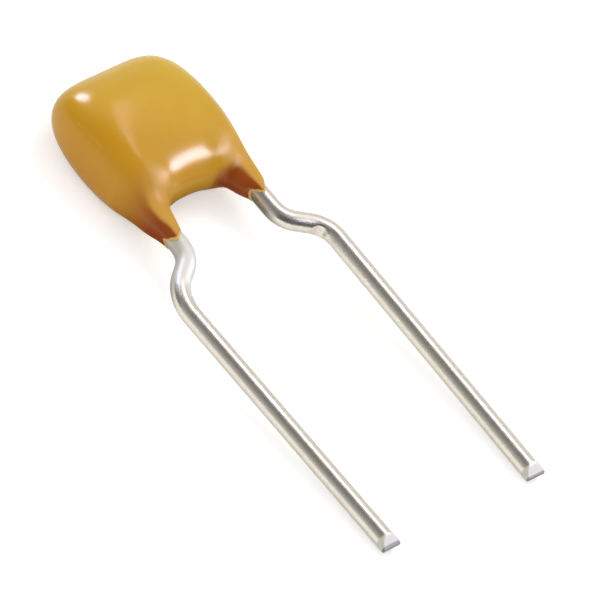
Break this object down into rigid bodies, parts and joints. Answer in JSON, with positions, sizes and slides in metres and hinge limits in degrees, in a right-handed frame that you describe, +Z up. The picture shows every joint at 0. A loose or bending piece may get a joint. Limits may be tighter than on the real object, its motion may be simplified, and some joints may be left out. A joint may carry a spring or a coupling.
{
  "type": "multilayer ceramic capacitor",
  "caption": "Radial-lead capacitor: a fired ceramic chip in a dipped resin coat with two legs round an arch, on tinned wires cranked outwards to a wider pitch.",
  "frame": {"origin": "on the floor under the middle of the outline, with the capacitor lying on its back", "axes": "+X from the left lead to the right one, -Y towards the lead tips, +Z up out of the coat's broad face"},
  "size_m": [0.0056, 0.0156, 0.0023],
  "materials": {
    "resin": "glossy dipped epoxy, ochre",
    "tinned_wire": "tinned, smooth",
    "dielectric": "fired, matt",
    "electrode": "fired metal film",
    "end_metal": "plated",
    "solder": "bright solder"
  },
  "bodies": {
    "root": {"coating": "resin", "ceramic_block": "dielectric", "electrodes_left": "electrode", "electrodes_right": "electrode", "end_cap_left": "end_metal", "end_cap_right": "end_metal", "solder_joint_left": "solder", "solder_joint_right": "solder", "lead_left": "tinned_wire", "lead_right": "tinned_wire"}
  },
  "joints": []
}
